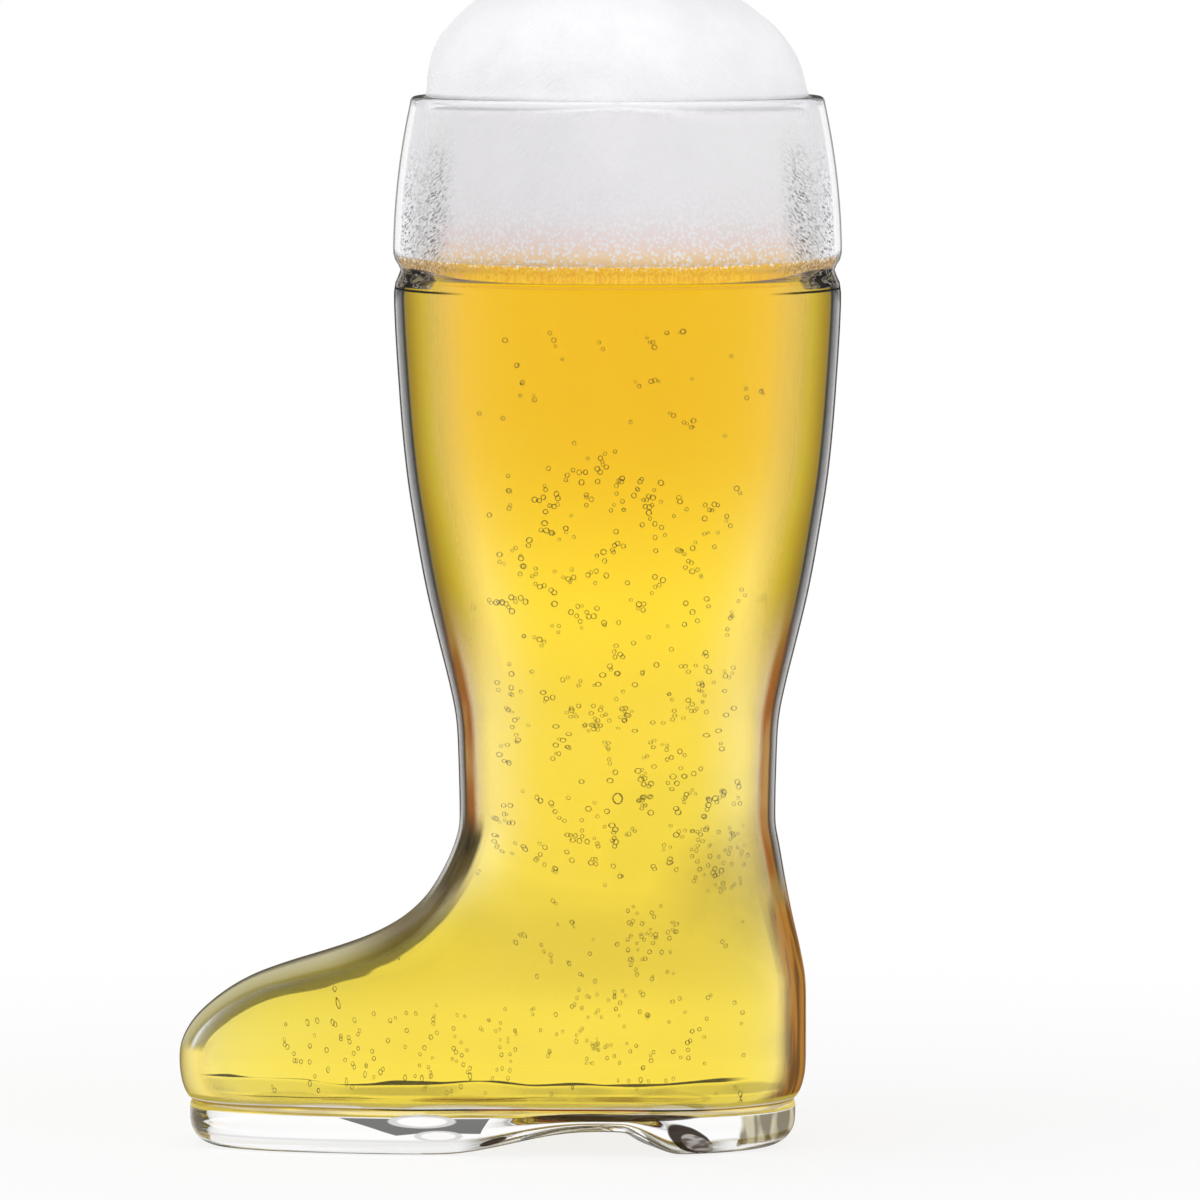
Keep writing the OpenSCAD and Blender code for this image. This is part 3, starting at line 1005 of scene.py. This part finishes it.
        dark = (patch * 0.97).highest(streak * 0.9).highest(small_dark_reflection * 0.95) * near
        painted_reflections = (wedge * 0.88).highest(ovals * near * 0.75).highest(block * near * 0.85)
        painted_reflections = painted_reflections.highest(dark).highest(toe_dark_reflection * 0.6)
        self.glow = glow * below * level * (1 - painted_reflections.between(0.0, 0.1))
        painted_reflections = painted_reflections.highest(base_line * (0.3 + wisp * 0.9)).highest(self.glow * 0.85)

        columns = nodes.noise(self.spot, 420.0, 1.0, stretch=(1, 0.3, 0.22)) + (wisp - 0.5) * 0.3
        ink = nodes.mixed(columns.between(0.42, 0.58), rgb(0.17, 0.13, 0.05), rgb(0.6, 0.55, 0.36))
        ink = nodes.mixed(toe_dark_reflection, ink, rgb(0.16, 0.14, 0.11))
        ink = nodes.mixed(base_line.between(0.1, 0.3), ink, rgb(0.1, 0.09, 0.06))
        ink = nodes.mixed(wedge, ink, grey(0.09))
        ink = nodes.mixed(ovals, ink, nodes.mixed(middles.between(0.3, 0.6), grey(0.66), grey(1)))
        ink = nodes.mixed(dark.between(0, 0.3), ink, rgb(0.035, 0.022, 0.012))
        reflection_facets = nodes.noise(self.spot, 520.0, 1.0, stretch=(0.5, 1, 1.6)).between(0.36, 0.58)
        reflection_facets = nodes.mixed(reflection_facets, rgb(0.13, 0.1, 0.08), rgb(0.46, 0.44, 0.42))
        ink = nodes.mixed(core * near, ink, reflection_facets)
        ink = nodes.mixed(self.glow.between(0, 0.2), ink, grey(0.02))
        self.lay(painted_reflections, painted_reflections.between(0, 0.1), ink)


def clear_glass():
    """Clear blown glass, with painted light and shade where it bends light."""
    made, nodes = material("clear_glass")
    marks = GlassMarks(nodes)
    glass = nodes.add("ShaderNodeBsdfPrincipled", None, {
        "Base Color": rgb(0.995, 0.998, 0.995), "Roughness": 0.0, "IOR": GLASS_IOR,
        "Specular Tint": grey(0.4), "Transmission Weight": 1.0})
    # The painted marks, with a painted highlight that glows white.
    marked = nodes.add("ShaderNodeBsdfPrincipled", None, {
        "Base Color": marks.ink, "Roughness": 0.5, "Specular IOR Level": 0.0,
        "Emission Strength": 1.0, "Emission Color": nodes.mixed(marks.glow, grey(0), grey(0.93))})
    nodes.finish(nodes.shaders(marks.strength, glass, marked), GLASS_TINT)
    return made


def wetted_glass():
    """The inside of the boot, where the drink touches the glass and takes away its shine."""
    made, nodes = material("wetted_glass")
    streaks = nodes.noise(nodes.place(), 60.0, stretch=(1, 1, 0.15))
    tint = nodes.mixed(streaks.between(0.3, 0.8), grey(1), rgb(0.97, 0.975, 0.97))
    glass = nodes.add("ShaderNodeBsdfPrincipled", None, {
        "Base Color": tint, "Roughness": 0.0, "IOR": GLASS_IOR,
        "Specular Tint": grey(0.1), "Transmission Weight": 1.0})
    nodes.finish(glass, GLASS_TINT)
    return made


# How strongly the beer's painted dark edge shows, from where it starts to turn away (0) to its
# outline (1).
BEER_SHAFT_EDGE = [(0.32, 0.0), (0.5, 0.45), (0.62, 0.75), (0.8, 0.92), (1, 0.95)]
BEER_ANKLE_EDGE = [(0.5, 0.0), (0.7, 0.45), (0.8, 0.9), (1, 0.95)]
BEER_FOOT_EDGE = [(0.6, 0.0), (0.8, 0.6), (1, 0.8)]
BEER_VAMP_EDGE = [(0.5, 0.0), (0.53, 0.88), (1, 0.92)]
BEER_OLIVE = [
    (0.4, rgb(0.62, 0.42, 0.06)), (0.6, rgb(0.5, 0.36, 0.05)),
    (0.8, rgb(0.32, 0.22, 0.025)), (0.95, rgb(0.14, 0.1, 0.015))]
BEER_BROWN = [
    (0.6, rgb(0.62, 0.42, 0.08)), (0.8, rgb(0.45, 0.22, 0.04)), (0.9, rgb(0.25, 0.09, 0.012))]

# The floor's lines and the olive pool between them are painted shade of bent light.
# The two lines that the beer's floor draws, in millimetres up: on the far side of the boot,
# and how much higher on the near side.
FLOOR_LINE = 12.4
FLOOR_LINE_NEAR = 4.6
LOW_FLOOR_LINE = 11.4
LOW_FLOOR_LINE_NEAR = 1.9


def pale_beer():
    """Clear golden beer: paler where it is thin, with painted olive shade at its edges, painted
    dark lines at its floor and a faint painted glow.
    """
    made, nodes = material("pale_beer")
    place = nodes.place()
    height = nodes.heights(place)
    edge = nodes.facing()
    shaft = height.from_mm(*SHAFT_START)
    foot = 1 - height.from_mm(50, 70)
    near = 1 - nodes.aside(place).from_mm(*NEAR_SIDE_END)

    waves = nodes.noise(place, 42.0, 1.0) - 0.5
    thick = nodes.noise(place, 62.0, 1.0) - 0.42
    line = height * MM_PER_M - FLOOR_LINE - near * FLOOR_LINE_NEAR + waves * 5
    low_line = height * MM_PER_M - LOW_FLOOR_LINE - near * LOW_FLOOR_LINE_NEAR - waves * 2
    brush = line.between(-0.15, 0.0) * (1 - (line - thick * 2.2).between(0.15, 0.35))
    low_brush = low_line.between(-0.1, 0.0) * (1 - (low_line + thick * 0.5).between(0.02, 0.16))
    brush = brush.highest(low_brush) * (1 - nodes.along(place).from_mm(47, 54))
    brush = brush * (0.2 + near * 0.8)
    # Painted olive shade between the floor's lines.
    pool = low_line.between(0.3, 1.0) * (1 - line.between(-0.9, -0.1))
    pool = pool * (0.2 + nodes.noise(place, 55.0, 1.0).between(0.42, 0.6) * 0.32)
    pool = pool.highest((1 - low_line.between(0.0, 0.8)) * 0.16)

    foot_edge = nodes.blend(
        nodes.upward().between(0.1, 0.3), nodes.share(edge, BEER_FOOT_EDGE),
        nodes.share(edge, BEER_VAMP_EDGE))
    shaft_edge = nodes.blend(
        shaft, nodes.share(edge, BEER_ANKLE_EDGE), nodes.share(edge, BEER_SHAFT_EDGE))
    strength = nodes.blend(foot, shaft_edge, foot_edge).highest(pool).highest(brush * 0.92)
    ink = nodes.mixed(shaft, nodes.ramp(edge, BEER_BROWN), nodes.ramp(edge, BEER_OLIVE))
    foot_ink = nodes.mixed(brush, rgb(0.3, 0.25, 0.04), rgb(0.025, 0.02, 0.005))
    ink = nodes.mixed(foot, ink, foot_ink)

    gold = nodes.mixed(height.from_mm(110, 170), grey(1), rgb(0.93, 0.79, 0.26))
    haze = nodes.noise(place, 24.0, 2.0, stretch=(1, 1, 0.4)).between(0.35, 0.7)
    gold = nodes.mixed(haze * 0.05, gold, rgb(0.82, 0.72, 0.6))
    # A faint painted glow on the ankle, yellow in the middle and paler and greyer towards its
    # outline.
    ankle = height.strip(50, 70, 120, 160)
    lit = nodes.mixed(edge.between(0.12, 0.4), rgb(0.045, 0.04, 0.002), rgb(0.07, 0.08, 0.08))
    lit = nodes.mixed(ankle * (1 - edge.between(0.4, 0.65)), grey(0), lit)
    liquid = nodes.add("ShaderNodeBsdfPrincipled", None, {
        "Base Color": gold, "Roughness": 0.0, "IOR": BEER_IOR, "Emission Strength": 1.0,
        "Emission Color": lit, "Specular Tint": grey(0.1), "Transmission Weight": 1.0})
    marked = nodes.add("ShaderNodeBsdfPrincipled", None, {
        "Base Color": ink, "Roughness": 0.5, "Specular IOR Level": 0.0})
    depth = nodes.add("ShaderNodeVolumeAbsorption", None, {
        "Color": rgb(0.995, 0.903, 0.02), "Density": BEER_DENSITY})
    nodes.finish(nodes.shaders(strength, liquid, marked), grey(1), depth)
    return made


def bubble_skin():
    """Gas in beer: a painted dark, broken olive ring round a clear middle, with painted shade on
    its lower side.
    """
    made, nodes = material("bubble_skin")
    place = nodes.place()
    speck = nodes.noise(place, 2400.0, 1.0).between(0.4, 0.55)
    edge = nodes.facing() + (nodes.noise(place, 1700.0, 1.0) - 0.5) * 0.5
    ring = nodes.share(edge, [(0, 0.0), (0.24, 0.04), (0.38, 0.95), (0.8, 1.0), (1, 0.6)])
    ring = ring * (0.25 + speck * 0.75)
    shaded_low_side = 1 - nodes.upward().between(-0.3, 0.6)
    colour = nodes.mixed(shaded_low_side, rgb(0.16, 0.11, 0.012), rgb(0.02, 0.014, 0.003))
    skin = nodes.add("ShaderNodeBsdfPrincipled", None, {
        "Base Color": colour, "Roughness": 0.3, "Specular IOR Level": 0.2, "Alpha": ring})
    nodes.add("ShaderNodeOutputMaterial", None, {"Surface": skin})
    return made


def beer_foam():
    """Wet white froth: pebbled against the glass, and soaked with beer along its bottom. Inside the
    glass it is painted brighter, most of all towards its sides.
    """
    made, nodes = material("beer_foam")
    place = nodes.place()
    height = nodes.heights(place)
    edge = nodes.facing()
    pebbles = nodes.cells(place, 1150.0)
    # Painted light: the froth inside the glass is whiter than the crown above it.
    inside = 1 - height.from_mm(234, 236)
    white = nodes.mixed(inside, rgb(0.9, 0.895, 0.905), rgb(0.985, 0.965, 0.985))
    shade = nodes.mixed(inside, rgb(0.85, 0.845, 0.86), rgb(0.94, 0.92, 0.945))
    white = nodes.mixed(nodes.noise(place, 60.0, 4.0).between(0.35, 0.7), white, shade)
    # Painted light: the froth is whiter away from the middle, towards its sides.
    white = nodes.mixed(edge.between(0.05, 0.2) * inside, white, rgb(1, 0.98, 1))
    beaded = pebbles.between(0.3, 0.6) * height.strip(199, 204, 203, 226) * 0.4
    white = nodes.mixed(beaded, white, rgb(0.86, 0.82, 0.84))
    # The froth grain, with its painted shade and highlights, shows where the froth turns away,
    # below the rim.
    shaded_grain_zone = edge.between(0.34, 0.5) * (1 - height.from_mm(210, 233))
    froth = nodes.mixed(shaded_grain_zone, white, nodes.shaded_froth_grain(place))
    sparkle = 1 - pebbles.between(0.34, 0.48)
    wet = (1 - height.from_mm(198.5, 212.5)) * (1 - sparkle * 0.85)
    wet = wet * (1 - edge.between(0.3, 0.6) * 0.8) * 0.75
    soaked = nodes.mixed(height.from_mm(199, 206), rgb(1, 0.6, 0.05), rgb(1, 0.68, 0.58))
    froth = nodes.mixed(wet, froth, soaked)
    grain = nodes.noise(nodes.leaning(place), 1500.0, 2.0, 0.6)
    bump = nodes.add("ShaderNodeBump", None, {
        "Strength": 0.5, "Distance": 0.5 * MM, "Height": grain})
    body = nodes.add("ShaderNodeBsdfPrincipled", None, {
        "Base Color": froth, "Roughness": 0.6, "IOR": FOAM_IOR, "Normal": bump.outputs[0]})
    nodes.add("ShaderNodeOutputMaterial", None, {"Surface": body})
    return made


def studio():
    """The surround, the floor, three soft lamps and the camera."""
    surround()
    pale_floor()
    lamp("soft_top", (-0.3, -0.2, 1.4), 1.2, 6.5)
    lamp("soft_side", (1.4, -1.05, 0.6), 1.0, 10)
    lamp("soft_left", (-1.5, -1.15, 0.5), 1.0, 8)
    photo_camera()
    bpy.context.scene.view_settings.view_transform = "Standard"


def surround():
    """A white surround with a darker ceiling. It fills the shadows with half its strength."""
    world = bpy.data.worlds.new("studio")
    bpy.context.scene.world = world
    nodes = Nodes(world)
    direction = nodes.add("ShaderNodeTexCoord").outputs["Generated"]
    ceiling = nodes.heights(direction).between(0.25, 0.8)
    seen = nodes.add("ShaderNodeBackground", None, {
        "Color": nodes.mixed(ceiling, grey(1), rgb(0.12, 0.12, 0.13)), "Strength": 1.0})
    fill = nodes.add("ShaderNodeBackground", None, {"Color": rgb(0.98, 0.98, 1), "Strength": 0.55})
    nodes.add("ShaderNodeOutputWorld", None, {"Surface": nodes.shaders(nodes.shown(), fill, seen)})


def pale_floor():
    """A pale floor that keeps the boot's shadow and runs out into the white surround."""
    bm = bmesh.new()
    bmesh.ops.create_circle(bm, cap_ends=True, segments=FLOOR_SEGMENTS, radius=FLOOR_R)
    floor = piece("floor", bm)
    made, nodes = material("pale_floor")
    matte = nodes.add("ShaderNodeBsdfDiffuse", None, {"Color": grey(0.9)})
    white = nodes.add("ShaderNodeEmission", None, {"Color": grey(1), "Strength": 1.0})
    distance = nodes.add(
        "ShaderNodeVectorMath", {"operation": "LENGTH"}, {0: nodes.place()}).outputs["Value"]
    away = Field(nodes, distance).between(0.1, 0.45)
    nodes.add("ShaderNodeOutputMaterial", None, {
        "Surface": nodes.shaders(nodes.shown() * (away * 0.2 + 0.8), matte, white)})
    floor.data.materials.append(made)


def lamp(name, place, size, power):
    """A round soft lamp that lights the boot and isn't seen in it."""
    data = bpy.data.lights.new(name, "AREA")
    data.shape = "DISK"
    data.size = size
    data.energy = power
    made = bpy.data.objects.new(name, data)
    bpy.context.collection.objects.link(made)
    made.location = place
    made.rotation_euler = (Vector(place) - LAMP_AIM).to_track_quat("Z", "Y").to_euler()
    made.visible_glossy = made.visible_transmission = made.visible_camera = False


def photo_camera():
    """The camera, with the boot at the photo's scale and place in the frame."""
    camera = bpy.data.objects.new("camera", bpy.data.cameras.new("camera"))
    bpy.context.collection.objects.link(camera)
    bpy.context.scene.camera = camera
    middle = FRAME_PIXELS / 2
    aim = Vector((
        shaft_x + (middle - SHAFT_PIXEL) * PIXEL, 0, (GROUND_PIXEL - middle) * PIXEL))
    camera.location = (aim.x, -CAMERA_AWAY, CAMERA_HEIGHT)
    away = camera.location - aim
    camera.rotation_euler = away.to_track_quat("Z", "Y").to_euler()
    camera.data.sensor_width = SENSOR_MM
    camera.data.lens = SENSOR_MM * away.length / (FRAME_PIXELS * PIXEL)


studio()

glass = blown_glass()
glass.data.materials.append(clear_glass())
glass.data.materials.append(wetted_glass())
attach(glass, "root")
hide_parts("glass_boot")

beer = beer_body()
beer.data.materials.append(pale_beer())
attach(beer, "root")
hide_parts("beer")

gas = bubbles()
gas.data.materials.append(bubble_skin())
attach(gas, "root")

foam = foam_body()
foam.data.materials.append(beer_foam())
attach(foam, "root")
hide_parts("foam_head")
